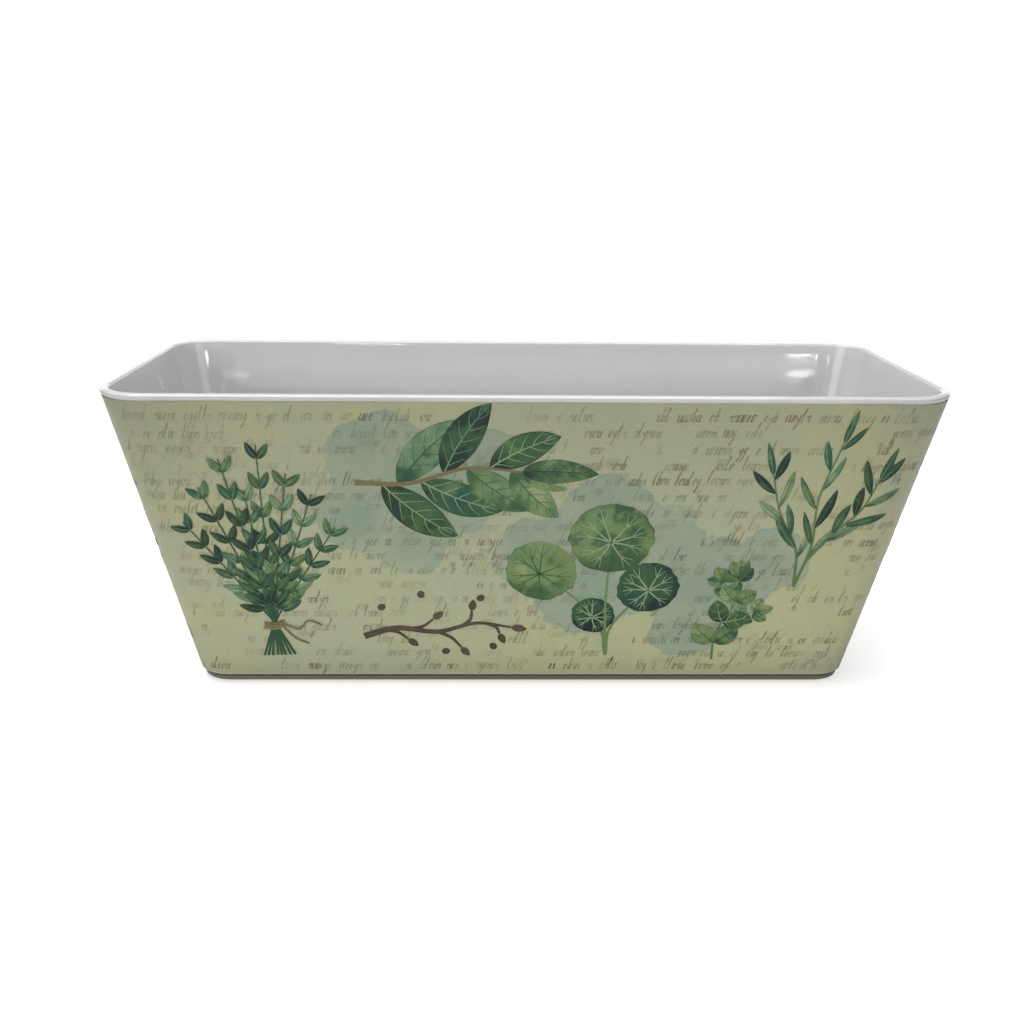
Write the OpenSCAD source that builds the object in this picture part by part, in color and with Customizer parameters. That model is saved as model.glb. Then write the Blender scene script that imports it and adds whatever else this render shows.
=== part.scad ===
// Windowsill herb planter: a moulded trough with a printed wrap fused to its
// walls, three drain plugs seated in its floor and four rubber feet.
// The front faces -Y, and the planter stands on the sill at z = 0.

/* [Trough] */
// Length over the rim
rim_length = 305; // [285:1:325]
// Depth over the rim, front to back
rim_depth = 118; // [112:1:130]
// Height of the rim above the sill
height = 121; // [105:1:130]
// Lean of all four walls from upright, in degrees
draft = 11; // [9:0.5:12]
// Radius that rounds the four upright corners
corner_r = 16; // [14:0.5:20]
// Thickness of the walls
wall = 2.8; // [2.4:0.1:3.2]
// Thickness of the floor
floor_t = 3; // [2.8:0.1:4]
// Radius of the rolled rim
rim_r = 1.9; // [1.8:0.1:2.2]

/* [Base] */
// Height of the heel, where the walls end, above the sill
heel_z = 3.5; // [2.2:0.1:4]
// Gap under the foot ring
ring_gap = 0.8; // [0.6:0.1:1.2]
// How far the foot ring stands in from the heel
ring_inset = 1; // [0.8:0.1:3]
// Width of the foot ring
ring_w = 3; // [2:0.1:4]

/* [Printed wrap] */
// Thickness of the wrap
wrap_t = 0.3; // [0.2:0.05:0.4]
// Bare strip between the top of the rim and the wrap
wrap_top = 3.4; // [3.3:0.1:6]
// Bare strip between the heel and the wrap
wrap_foot = 0.5; // [0.3:0.1:2]
// Width of the butt seam up the middle of the back
seam_w = 0.4; // [0.2:0.1:1]

/* [Drain plugs] */
// Number of drain holes along the floor
plug_count = 3; // [3:1:3]
// Distance between drain holes
plug_pitch = 80; // [60:1:90]
// Radius of a drain hole
hole_r = 5; // [4:0.5:6]
// Radius of the seat sunk round a drain hole
seat_r = 9.5; // [9:0.5:11]
// Depth of the seat
seat_depth = 1.2; // [1:0.1:1.5]
// Radius of the boss under a drain hole
boss_r = 12; // [11:0.5:14]
// Height of the finger tab on a plug
tab_h = 3.5; // [3:0.5:6]

/* [Feet] */
// Radius of a rubber foot
foot_r = 8; // [6:0.5:9]
// Depth of the socket that a foot is glued into
socket_depth = 0.4; // [0.3:0.1:0.6]

/* [Hidden] */
$fn = 96;
// Overlap of solids that are joined, and the reach of cutters past what they cut
eps = 0.01;
margin = 8;

bead_z = height - rim_r;
floor_top = heel_z + floor_t;
seat_z = floor_top - seat_depth;
boss_drop = 1;
underside_r = corner_r - ring_inset;

// A corner's rounding stands this far proud of the two walls that it joins,
// so that it crosses them instead of only touching them.
cross_in = 0.02;
// The upright corners lean both ways at once, so they lean more than a wall.
corner_lean = atan(sqrt(2) * tan(draft));
// Angle from a corner's diagonal to the line square to one of its walls
corner_half = atan2(
    cos(draft) * sin(45),
    cos(draft) * cos(corner_lean) * cos(45) + sin(draft) * sin(corner_lean)
);
// Radius of the rim's centreline round a corner. A level cut through the
// leaning round corner is a slightly flattened circle, so its radius is a
// little less than the corner's own. It is rounded to a hundredth, so that the
// rods and quarter rings of the rim end on the same planes.
level_share = (sqrt(2) / cos(draft) - sqrt(1 + 2 * pow(tan(draft), 2))) / (sqrt(2) - 1);
bead_corner_r = round(100 * (corner_r - wall / 2) * level_share) / 100;

// Clearance of a plug in its hole and in its seat
stem_gap = 0.08;
flange_gap = 0.5;
tab_w = 2.4;
tab_l = 12;

// A foot's middle lies this far in from the outside of the foot ring.
foot_to_ring = 1.6;
foot_in = ring_w + foot_to_ring + foot_r;
foot_gap = 0.1;
foot_edge = 0.8;

white = [0.93, 0.92, 0.93];
sage = [0.70, 0.72, 0.57];
clear_grey = [0.72, 0.74, 0.74];
dark_grey = [0.22, 0.22, 0.21];

// Half of the trough's size at height z, to the outer face of a wall.
// size is the size over the rim, and inset moves the face inwards.
function half_at(size, z, inset = 0) =
    size / 2 - rim_r + (wall / 2 - inset) / cos(draft) - (bead_z - z) * tan(draft);

// Four copies, one in each quarter of the plan.
module each_corner() {
    for (side_x = [0, 1], side_y = [0, 1])
        mirror([side_x, 0, 0])
            mirror([0, side_y, 0])
                children();
}

// A slab whose two long faces lean out by the draft, square to the X axis.
module leaning_slab(size, length, inset, z0, z1) {
    low = half_at(size, z0, inset);
    high = half_at(size, z1, inset);
    rotate([90, 0, 0])
        linear_extrude(length, center = true)
            polygon([[-low, z0], [low, z0], [high, z1], [-high, z1]]);
}

// What the rounding takes off the corner at +X +Y: the space between a
// leaning round post and the two walls that touch it.
module corner_waste(inset, z0, z1) {
    post_r = corner_r - inset;
    post_in = (post_r - cross_in) / cos(draft);
    reach = post_r + margin;
    overrun = corner_r + margin;
    span = (z1 - z0) / cos(corner_lean) + 2 * overrun;
    side = [reach * cos(corner_half), reach * sin(corner_half)];
    translate([half_at(rim_length, z0, inset) - post_in, half_at(rim_depth, z0, inset) - post_in, z0])
        rotate([0, corner_lean, 45])
            translate([0, 0, -overrun])
                linear_extrude(span)
                    difference() {
                        polygon([[0, 0], [side[0], -side[1]], [reach / cos(corner_half), 0], side]);
                        circle(post_r);
                    }
}

// A block with leaning walls and rounded corners, from z0 to z1.
module leaning_block(inset, z0, z1) {
    difference() {
        intersection() {
            leaning_slab(rim_length, 2 * rim_depth, inset, z0, z1);
            rotate([0, 0, 90])
                leaning_slab(rim_depth, 2 * rim_length, inset, z0, z1);
        }
        each_corner()
            corner_waste(inset, z0, z1);
    }
}

// A flat rectangle with round corners, inset from the heel's outline.
module base_outline(inset, r) {
    x = half_at(rim_length, heel_z) - inset;
    y = half_at(rim_depth, heel_z) - inset;
    square([2 * (x - r), 2 * y], center = true);
    square([2 * x, 2 * (y - r)], center = true);
    each_corner()
        translate([x - r, y - r])
            circle(r);
}

// The rolled rim: straight rods joined by quarter rings.
module rim_bead() {
    x = rim_length / 2 - rim_r - bead_corner_r;
    y = rim_depth / 2 - rim_r - bead_corner_r;
    for (side = [-1, 1]) {
        translate([0, side * (y + bead_corner_r), bead_z])
            rotate([0, 90, 0])
                cylinder(h = 2 * x, r = rim_r, center = true);
        translate([side * (x + bead_corner_r), 0, bead_z])
            rotate([90, 0, 0])
                cylinder(h = 2 * y, r = rim_r, center = true);
    }
    each_corner()
        translate([x, y, bead_z])
            rotate_extrude(angle = 90)
                translate([bead_corner_r, 0])
                    circle(rim_r);
}

// The ring under the edge of the floor, which the feet keep just off the sill.
module foot_ring() {
    translate([0, 0, ring_gap])
        linear_extrude(heel_z - ring_gap + eps)
            difference() {
                base_outline(ring_inset, underside_r);
                base_outline(ring_inset + ring_w, underside_r - ring_w);
            }
}

module at_each_drain() {
    for (i = [0 : plug_count - 1])
        translate([(i - (plug_count - 1) / 2) * plug_pitch, 0, 0])
            children();
}

// A hole through the floor with a seat sunk round its mouth.
module drain_hole() {
    translate([0, 0, ring_gap])
        cylinder(h = floor_top, r = hole_r);
    translate([0, 0, seat_z])
        cylinder(h = floor_t, r = seat_r);
}

module foot_place(side_x, side_y) {
    translate([
        side_x * (half_at(rim_length, heel_z) - ring_inset - foot_in),
        side_y * (half_at(rim_depth, heel_z) - ring_inset - foot_in),
        0
    ])
        children();
}

// The moulded trough: walls, floor, rolled rim and foot ring in one piece.
module trough() {
    color(white)
        difference() {
            union() {
                difference() {
                    leaning_block(0, heel_z, bead_z);
                    leaning_block(wall, floor_top, height);
                }
                rim_bead();
                foot_ring();
                at_each_drain()
                    translate([0, 0, heel_z - boss_drop])
                        cylinder(h = boss_drop + eps, r = boss_r);
            }
            at_each_drain()
                drain_hole();
            for (side_x = [-1, 1], side_y = [-1, 1])
                foot_place(side_x, side_y)
                    translate([0, 0, heel_z - floor_t])
                        cylinder(h = floor_t + socket_depth, r = foot_r + foot_gap);
        }
}

// The printed wrap: one band round the four walls, closed by a butt seam.
module printed_wrap() {
    low = heel_z + wrap_foot;
    high = height - wrap_top;
    color(sage)
        difference() {
            leaning_block(-wrap_t, low, high);
            leaning_block(0, low - margin, high + margin);
            translate([-seam_w / 2, 0, 0])
                cube([seam_w, rim_depth, height]);
        }
}

// A drain plug: a flange in the seat, a stem down the hole and a finger tab.
module drain_plug(i) {
    flange_r = seat_r - flange_gap;
    color(clear_grey)
        translate([(i - (plug_count - 1) / 2) * plug_pitch, 0, 0]) {
            translate([0, 0, seat_z])
                cylinder(h = seat_depth, r = flange_r);
            translate([0, 0, heel_z - boss_drop])
                cylinder(h = seat_z - heel_z + boss_drop + eps, r = hole_r - stem_gap);
            translate([0, 0, floor_top - eps])
                rotate([90, 0, 0])
                    linear_extrude(tab_w, center = true) {
                        translate([-tab_l / 2, 0])
                            square([tab_l, tab_h - tab_w]);
                        translate([tab_w - tab_l / 2, 0])
                            square([tab_l - 2 * tab_w, tab_h]);
                        for (side = [-1, 1])
                            translate([side * (tab_l / 2 - tab_w), tab_h - tab_w])
                                circle(tab_w);
                    }
        }
}

// A rubber foot: a flat pad with a rounded edge, glued into its socket.
module foot(side_x, side_y) {
    top = heel_z + socket_depth;
    color(dark_grey)
        foot_place(side_x, side_y)
            rotate_extrude() {
                translate([0, foot_edge])
                    square([foot_r, top - foot_edge]);
                square([foot_r - foot_edge, foot_edge + eps]);
                translate([foot_r - foot_edge, foot_edge])
                    intersection() {
                        circle(foot_edge);
                        translate([0, -foot_edge])
                            square(foot_edge + eps);
                    }
            }
}

trough();
printed_wrap();
drain_plug(0);  // drain_plug_left
drain_plug(1);  // drain_plug_middle
drain_plug(2);  // drain_plug_right
foot(-1, -1);  // foot_front_left
foot(1, -1);  // foot_front_right
foot(-1, 1);  // foot_back_left
foot(1, 1);  // foot_back_right
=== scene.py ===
import math
import random
from functools import partial

import bmesh
import bpy
import numpy as np
from mathutils import Matrix, Vector


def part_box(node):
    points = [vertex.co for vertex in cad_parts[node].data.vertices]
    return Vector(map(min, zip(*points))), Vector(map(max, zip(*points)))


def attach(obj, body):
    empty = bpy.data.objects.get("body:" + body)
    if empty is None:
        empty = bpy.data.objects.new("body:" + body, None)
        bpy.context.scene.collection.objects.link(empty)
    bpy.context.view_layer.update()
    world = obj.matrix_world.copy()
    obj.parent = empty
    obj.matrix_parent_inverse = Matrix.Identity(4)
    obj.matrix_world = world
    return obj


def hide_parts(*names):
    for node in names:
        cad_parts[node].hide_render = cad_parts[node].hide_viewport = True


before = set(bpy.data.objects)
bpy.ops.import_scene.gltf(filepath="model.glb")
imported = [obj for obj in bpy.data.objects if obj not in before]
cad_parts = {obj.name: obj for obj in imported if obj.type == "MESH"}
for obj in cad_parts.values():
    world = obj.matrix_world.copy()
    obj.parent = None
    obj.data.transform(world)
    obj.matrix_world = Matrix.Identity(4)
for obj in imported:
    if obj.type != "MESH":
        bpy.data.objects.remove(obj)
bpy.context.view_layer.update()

# The trough. One compression moulding of melamine: four leaning walls, a floor
# with three drains, a rim that is flat on top and beaded outside, and a foot
# ring. It is white, but for its dark olive underside, which also paints the shade
# under its heel. Sizes here are in millimetres.
MM = 0.001
trough_low, trough_high = (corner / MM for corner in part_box("trough"))
half_length = trough_high.x
half_depth = trough_high.y
wall = 2.8
draft = math.radians(11)
lean = math.tan(draft)
wall_out = wall / 2 / math.cos(draft)
rim_r = 1.9
bead_z = trough_high.z - rim_r
flatten = 0.7
wrap_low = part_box("printed_wrap")[0].z / MM
heel_z = wrap_low - 0.5
floor_z = heel_z + 3
rim_corner_r = 18.5
heel_corner_r = 13


def wall_half(half_rim, z):
    """Half of the trough's size at height z, to the outer face of its walls."""
    return half_rim - rim_r + wall_out - (bead_z - z) * lean


def corner_r(z):
    """Radius of the upright corners, which taper towards the heel."""
    share = (z - heel_z) / (bead_z - heel_z)
    return heel_corner_r + (rim_corner_r - heel_corner_r) * share


def corner_starts(turn, z, outward):
    """Where a wall's flat part ends and how round the corner after it is."""
    radius = corner_r(z) + outward
    half_along = np.where(turn % 2 == 0, wall_half(half_length, z), wall_half(half_depth, z))
    return half_along + outward - radius, radius


def on_wall(turn, across, z, outward):
    """Points at a level distance outward from the outer face. turn counts the walls
    from the front, anticlockwise seen from above, and across is measured from the
    middle of that wall and goes on round the corners."""
    flat, radius = corner_starts(turn, z, outward)
    half_out = np.where(turn % 2 == 0, wall_half(half_depth, z), wall_half(half_length, z))
    over = np.maximum(np.abs(across) - flat, 0)
    bend = np.minimum(over / radius, math.pi / 2)
    past = over - bend * radius
    along = np.sign(across) * (np.minimum(np.abs(across), flat) + radius * np.sin(bend))
    out = half_out + outward - radius * (1 - np.cos(bend)) - past
    angle = turn * math.pi / 2
    return np.stack(
        [
            along * np.cos(angle) + out * np.sin(angle),
            along * np.sin(angle) - out * np.cos(angle),
            z + 0 * along,
        ],
        axis=-1,
    )


def wall_columns():
    """Columns round the trough, from the middle of the back and back to it: the
    wall, the share of its flat part, and the share of the corner after it."""
    long_wall = np.linspace(-0.992, 0.992, 13)
    short_wall = np.linspace(-0.98, 0.98, 7)
    corner = np.linspace(0, 1, 19)[:-1]
    columns = []
    for turn in (2, 3, 0, 1, 2):
        first = turn == 2 and not columns
        last = turn == 2 and bool(columns)
        for share in [-1, *(short_wall if turn % 2 else long_wall)]:
            if not (first and share < -1e-6) and not (last and share > 1e-6):
                columns.append((turn, share, 0))
        if not last:
            columns += [(turn, 1, bend) for bend in corner]
    return np.array(columns, float).T


column_turn, column_share, column_bend = wall_columns()


def loop_round(outward, z):
    """One closed line of points round the trough, in the columns above."""
    z = z + 0 * column_turn
    flat, radius = corner_starts(column_turn, z, outward)
    across = column_share * flat + column_bend * radius * math.pi / 2
    return on_wall(column_turn, across, z, outward)


def arc(centre, radius, start, end, steps):
    """Points on an arc of the wall's section, angles in degrees from outwards."""
    angles = np.radians(np.linspace(start, end, steps))
    return [(centre[0] + radius * math.cos(a), centre[1] + radius * math.sin(a)) for a in angles]


def flat_bead(points):
    """Presses the rim's bead flatter, but keeps its top, its width and the face of
    the wall below it. points lead from the bead's top down to that face."""
    out, z = np.array(points).T
    below = np.clip((bead_z - z) / (bead_z - z[-1]), 0, 1)
    drop = trough_high.z - z
    return list(zip(out + (1 - flatten) * lean * drop * below**2, trough_high.z - flatten * drop))


def wall_section():
    """The trough's section from the floor up over the rim and down to the ring,
    as distances out from the middle of the rim's bead and heights, and where in
    it the rim's outside and the dark olive underside start."""
    lean_deg = math.degrees(draft)
    face = np.array([math.cos(draft), -math.sin(draft)])
    down = np.array([-math.sin(draft), -math.cos(draft)])
    bead = np.array([0, bead_z])
    below_rim = bead_z - 2.6

    def beside(side, z, out=0):
        """The point at height z that lies out from the inner or outer face."""
        return (side * wall_out - (bead_z - z) * lean + out / math.cos(draft), z)

    hollow_r = 0.8
    out = wall / 2 + hollow_r
    neck = bead + out * face + math.sqrt((rim_r + hollow_r) ** 2 - out**2) * down
    from_bead = math.degrees(math.atan2(*(bead - neck)[::-1]))
    to_wall = math.degrees(math.atan2(*(-face)[::-1]))
    hollow_turn = (to_wall - from_bead + 180) % 360 - 180
    hollow = arc(neck, hollow_r, from_bead, from_bead + hollow_turn, 5)
    inner_r = 1.1
    inner = beside(-1, trough_high.z - inner_r, inner_r)
    cove_r = 4
    cove = beside(-1, floor_z + cove_r, -cove_r)
    heel_r = 0.4
    heel = beside(1, heel_z + heel_r, -heel_r)
    ring_out = beside(1, heel_z)[0] - 1
    ring_in = ring_out - 3
    ring_z = trough_low.z
    ring_r = 0.35
    section = [(cove[0] - 1.5, floor_z), (cove[0] - 0.3, floor_z)]
    section += arc(cove, cove_r, -90, -lean_deg, 9)
    section += [beside(-1, z) for z in np.linspace(cove[1] + 0.5, below_rim, 6)]
    section += arc(inner, inner_r, 180 - lean_deg, 96, 9)
    lip_start = len(section)
    section += flat_bead(arc(bead, rim_r, 90, from_bead - 180, 19)[:-1] + hollow)
    section += [beside(1, z) for z in np.linspace(below_rim, heel_z + 0.8, 6)]
    olive_start = len(section) - 1
    section += arc(heel, heel_r, -lean_deg, -90, 5)
    section += [(ring_out, heel_z), (ring_out, ring_z + 0.8)]
    section += arc((ring_out - ring_r, ring_z + ring_r), ring_r, 0, -90, 5)
    section += arc((ring_in + ring_r, ring_z + ring_r), ring_r, -90, -180, 5)
    section += [(ring_in, ring_z + 0.8), (ring_in, heel_z), (ring_in - 0.5, heel_z)]
    return section, lip_start, olive_start


drain_x = (-80, 0, 80)
drain_r = 5
seat_r = 9.5
seat_z = floor_z - 1.2
boss_r = 12
boss_z = heel_z - 1
socket_r = 8.1
socket_top = heel_z + 0.4
foot_x, foot_y, _ = sum(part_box("foot_back_right"), Vector()) / 2 / MM
foot_places = [(x, y) for x in (-foot_x, foot_x) for y in (-foot_y, foot_y)]


def circle(centre, radius, z):
    angles = np.linspace(0, 2 * math.pi, 64, endpoint=False)
    x = centre[0] + radius * np.cos(angles)
    return np.stack([x, centre[1] + radius * np.sin(angles), z + 0 * x], axis=-1)


def add_loop(bm, points):
    return [bm.verts.new(Vector(p) * MM) for p in points]


def join_loops(bm, first, second, slot=0):
    """A band of faces between two closed loops with the same number of points."""
    for i in range(len(first)):
        j = (i + 1) % len(first)
        bm.faces.new((first[i], first[j], second[j], second[i])).material_index = slot


def closed_edges(bm, loop):
    found = []
    for i, vert in enumerate(loop):
        pair = (vert, loop[(i + 1) % len(loop)])
        found.append(bm.edges.get(pair) or bm.edges.new(pair))
    return found


def fill_between(bm, outside, holes, slot):
    """A flat face inside one loop, open where the holes are."""
    edges = [edge for loop in (outside, *holes) for edge in closed_edges(bm, loop)]
    made = bmesh.ops.triangle_fill(bm, edges=edges, use_beauty=True, use_dissolve=False)
    for face in made["geom"]:
        if isinstance(face, bmesh.types.BMFace):
            face.material_index = slot


def finish_mesh(bm, name, materials, crease=40):
    """Closes off a bmesh as a smooth-shaded object with sharp creases."""
    bmesh.ops.recalc_face_normals(bm, faces=bm.faces)
    mesh = bpy.data.meshes.new(name)
    bm.to_mesh(mesh)
    bm.free()
    mesh.shade_smooth()
    mesh.set_sharp_from_angle(angle=math.radians(crease))
    for material in materials:
        mesh.materials.append(material)
    piece = bpy.data.objects.new(name, mesh)
    bpy.context.scene.collection.objects.link(piece)
    return piece


def mould_trough():
    white, lip, olive = 0, 1, 2
    bm = bmesh.new()
    section, lip_start, olive_start = wall_section()
    loops = []
    for out, z in section:
        outward = out - (wall_out - (bead_z - z) * lean)
        loops.append(add_loop(bm, loop_round(outward, z)[:-1]))
    for i in range(len(loops) - 1):
        slot = white if i < lip_start else lip if i < olive_start else olive
        join_loops(bm, loops[i], loops[i + 1], slot)
    seats = []
    bosses = []
    for x in drain_x:
        seat = [
            (seat_r + 0.25, floor_z),
            (seat_r + 0.07, floor_z - 0.07),
            (seat_r, floor_z - 0.25),
            (seat_r, seat_z + 0.2),
            (seat_r - 0.2, seat_z),
            (drain_r + 0.25, seat_z),
            (drain_r, seat_z - 0.25),
        ]
        boss = [
            (drain_r, boss_z + 0.25),
            (drain_r + 0.25, boss_z),
            (boss_r - 0.3, boss_z),
            (boss_r - 0.09, boss_z + 0.09),
            (boss_r, boss_z + 0.3),
            (boss_r, heel_z),
        ]
        made = [add_loop(bm, circle((x, 0), r, z)) for r, z in seat + boss]
        for i in range(len(made) - 1):
            join_loops(bm, made[i], made[i + 1], white if i < len(seat) else olive)
        seats.append(made[0])
        bosses.append(made[-1])
    sockets = []
    for place in foot_places:
        mouth = add_loop(bm, circle(place, socket_r, heel_z))
        top = add_loop(bm, circle(place, socket_r, socket_top))
        join_loops(bm, mouth, top, olive)
        fill_between(bm, top, [], olive)
        sockets.append(mouth)
    fill_between(bm, loops[0], seats, white)
    fill_between(bm, loops[-1], bosses + sockets, olive)
    return bm


def srgb(*values):
    """A colour written as 0 to 255, as the linear values that shaders use."""
    shares = [v / 255 for v in values]
    return (*[s / 12.92 if s <= 0.04045 else ((s + 0.055) / 1.055) ** 2.4 for s in shares], 1)


def add_node(tree, kind, inputs=None, **settings):
    """A shader node, with each input set to a value or linked to a socket."""
    node = tree.nodes.new("ShaderNode" + kind)
    for name, value in settings.items():
        setattr(node, name, value)
    for name, value in (inputs or {}).items():
        if isinstance(value, bpy.types.NodeSocket):
            tree.links.new(value, node.inputs[name])
        else:
            node.inputs[name].default_value = value
    return node


def calc(tree, operation, *values, clamp=False):
    inputs = dict(enumerate(values))
    return add_node(tree, "Math", inputs, operation=operation, use_clamp=clamp).outputs[0]


def times(tree, first, second):
    return calc(tree, "MULTIPLY", first, second)


def scaled(tree, value, by, plus):
    """value * by + plus."""
    return calc(tree, "MULTIPLY_ADD", value, by, plus)


def blend(tree, share, first, second):
    return add_node(tree, "Mix", {0: share, 6: first, 7: second}, data_type="RGBA").outputs[2]


def step(tree, value, low, high):
    """0 below low and 1 above high, with a smooth change between them."""
    inputs = {"Value": value, "From Min": low, "From Max": high}
    return add_node(tree, "MapRange", inputs, interpolation_type="SMOOTHSTEP").outputs[0]


def stretch(tree, place, by):
    """Places scaled differently along X, Y and Z, for an effect that runs one way."""
    return add_node(tree, "VectorMath", {0: place, 1: by}, operation="MULTIPLY").outputs[0]


def noise(tree, place, scale, detail=2, rough=0.5):
    inputs = {"Vector": place, "Scale": scale, "Detail": detail, "Roughness": rough}
    return add_node(tree, "TexNoise", inputs).outputs["Fac"]


def new_group(name, inputs, outputs):
    """An empty node group with its sockets."""
    group = bpy.data.node_groups.new(name, "ShaderNodeTree")
    for label, kind, value in inputs:
        made = group.interface.new_socket(label, in_out="INPUT", socket_type="NodeSocket" + kind)
        made.default_value = value
    for label, kind in outputs:
        group.interface.new_socket(label, in_out="OUTPUT", socket_type="NodeSocket" + kind)
    start = group.nodes.new("NodeGroupInput").outputs
    end = group.nodes.new("NodeGroupOutput").inputs
    return group, start, end


def place_group(tree, group, inputs):
    return add_node(tree, "Group", inputs, node_tree=group).outputs


def new_material(name, **plain):
    """A material with a Principled shader and its plain values."""
    material = bpy.data.materials.new(name)
    material.use_nodes = True
    shader = material.node_tree.nodes["Principled BSDF"]
    for label, value in plain.items():
        shader.inputs[label.replace("_", " ")].default_value = value
    return material, material.node_tree, shader


def skin(tree, shader, roughness, height, strength, distance):
    """Links a shader's roughness and a bump of this height, its distance in metres."""
    inputs = {"Strength": strength, "Distance": distance, "Height": height}
    bump = add_node(tree, "Bump", inputs)
    tree.links.new(roughness, shader.inputs["Roughness"])
    tree.links.new(bump.outputs[0], shader.inputs["Normal"])


def where(tree):
    return add_node(tree, "TexCoord").outputs["Object"]


def split(tree, vector):
    return add_node(tree, "SeparateXYZ", {0: vector}).outputs


# Long, shallow waves that any moulded sheet has, and that bend its reflections.
moulding_waves, start, end = new_group(
    "moulding_waves",
    [("Place", "Vector", (0, 0, 0))],
    [("Height", "Float")],
)
tree = moulding_waves
broad = noise(tree, start["Place"], 28, 1)
close = noise(tree, start["Place"], 420, 2)
tree.links.new(scaled(tree, close, 0.035, broad), end["Height"])

# Faint rubs and smears left by handling: a mask of soft patches and thin streaks.
handling, start, end = new_group(
    "handling",
    [("Place", "Vector", (0, 0, 0)), ("Amount", "Float", 0.5)],
    [("Mask", "Float")],
)
tree = handling
patches = step(tree, noise(tree, start["Place"], 55, 4, 0.6), 0.52, 0.75)
upright = stretch(tree, start["Place"], (0.25, 0.25, 1))
streaks = step(tree, noise(tree, upright, 900, 3, 0.6), 0.58, 0.72)
both = calc(tree, "MULTIPLY_ADD", streaks, 0.6, patches, clamp=True)
tree.links.new(times(tree, both, start["Amount"]), end["Mask"])


def melamine(name, colour, worn_colour, wear, roughness, lip_shade=0):
    """Moulded melamine: glossy, slightly wavy, with faint handling smears. Painted shade
    darkens it along the heel and greys the rim's outside, from its top edge down."""
    material, tree, shader = new_material(name, IOR=1.5)
    place = where(tree)
    marks = place_group(tree, handling, {"Place": place, "Amount": wear})["Mask"]
    cast = step(tree, noise(tree, place, 14, 2), 0.35, 0.65)
    tone = blend(tree, times(tree, cast, 0.35), colour, worn_colour)
    tone = blend(tree, marks, tone, worn_colour)
    height = split(tree, place)["Z"]
    # Painted shade: upright faces within about a millimetre of the heel are darkened, where the
    # heel overhangs the ring.
    by_heel = calc(tree, "COMPARE", height, heel_z * MM, 0.0011)
    normal = add_node(tree, "NewGeometry").outputs["Normal"]
    level = calc(tree, "ABSOLUTE", split(tree, normal)["Z"])
    heel_shade = times(tree, by_heel, step(tree, level, 0.8, 0.5))
    tone = blend(tree, times(tree, heel_shade, 0.6), tone, srgb(44, 44, 36))
    # Painted shade: the rim's outside is greyed in patches, from just below its top edge down.
    if lip_shade:
        lip_shade_top = trough_high.z - 0.45
        on_lip = step(tree, height, lip_shade_top * MM, (lip_shade_top - 0.4) * MM)
        patchy = scaled(tree, cast, 0.35 * lip_shade, 0.65 * lip_shade)
        tone = blend(tree, times(tree, on_lip, patchy), tone, srgb(150, 150, 146))
    tree.links.new(tone, shader.inputs["Base Color"])
    waves = place_group(tree, moulding_waves, {"Place": place})["Height"]
    skin(tree, shader, scaled(tree, marks, 0.06, roughness), waves, 0.12, 0.0004)
    return material


white, worn_white = srgb(214, 212, 213), srgb(205, 203, 203)
trough_materials = [
    melamine("white_melamine", white, worn_white, 0.3, 0.045),
    melamine("lip_shade_melamine", white, worn_white, 0.3, 0.045, lip_shade=0.5),
    # The olive is made dark so that it also paints the shade under the heel.
    melamine("olive_melamine", srgb(118, 116, 98), srgb(98, 97, 82), 0.5, 0.3),
]
trough = finish_mesh(mould_trough(), "moulded_trough", trough_materials)
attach(trough, "planter")
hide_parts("trough")

# The printed wrap. A thin decorated foil fused round the outside of the walls,
# from just under the rim to just above the heel. Its ends meet in a butt seam
# up the middle of the back, and its top edge isn't quite straight.
wrap_t = 0.3
bead_drop = rim_r + math.sqrt(rim_r**2 - (wall / 2 + wrap_t) ** 2)
wrap_high = trough_high.z - flatten * bead_drop - 0.12
seam_w = 0.4
wrap_bed = 0.02


def wrap_top():
    """Height of the foil's top edge in each column: it dips at the corners."""
    random.seed(5)
    waves = [(random.uniform(0, 6.3), random.uniform(0.5, 1)) for _ in range(5)]
    points = loop_round(0, wrap_high)
    run = np.concatenate([[0], np.cumsum(np.linalg.norm(np.diff(points, axis=0), axis=1))])
    wave = sum(a * np.sin(run * (k + 1) / 62 + p) for k, (p, a) in enumerate(waves)) / len(waves)
    flat, radius = corner_starts(column_turn, wrap_high, 0)
    from_corner = np.minimum(1 - np.abs(column_share), 1) * flat
    dip = np.where(column_bend > 0, 1, np.exp(-from_corner / 9))
    return wrap_high - 0.12 * (1 + wave) - 0.4 * dip


def wrap_foil():
    """A closed thin shell: down the inside, round the lower edge, up the outside."""
    top = wrap_top()
    edge = 0.09
    section = [(wrap_bed, top - 0.5), (wrap_bed, wrap_low)]
    section += [(wrap_t - edge, wrap_low), (wrap_t, wrap_low + edge)]
    rise = top - edge - wrap_low - edge
    section += [(wrap_t, wrap_low + edge + rise * share) for share in np.linspace(0, 1, 9)[1:]]
    section += [(wrap_t - edge / 2, top)]
    bm = bmesh.new()
    loops = []
    for lift, z in section:
        points = loop_round(lift / math.cos(draft), z)
        points[0, 0] = -seam_w / 2
        points[-1, 0] = seam_w / 2
        loops.append(add_loop(bm, points))
    around = loops + [loops[0]]
    for first, second in zip(around[:-1], around[1:]):
        for i in range(len(first) - 1):
            bm.faces.new((first[i], first[i + 1], second[i + 1], second[i]))
    for end_cap in (0, -1):
        bm.faces.new([loop[end_cap] for loop in loops])
    return bm


# Watercolour washes on the print. For each wall, in turn from the front, the
# middle of every pool, across from the wall's middle and up, and its radius.
wash_pools = [
    [
        (-52, 96, 20), (-34, 84, 23), (-14, 94, 15), (-62, 74, 15),
        (-42, 62, 13), (4, 58, 17), (22, 48, 24), (46, 56, 25),
        (30, 74, 18), (72, 44, 22), (62, 26, 14), (92, 56, 15),
    ],
    [(8, 62, 22), (-12, 44, 17)],
    [(-76, 78, 24), (-50, 64, 23), (-28, 74, 16), (26, 44, 20), (50, 54, 24), (74, 42, 17)],
    [(8, 84, 22), (-12, 68, 18)],
]
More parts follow.
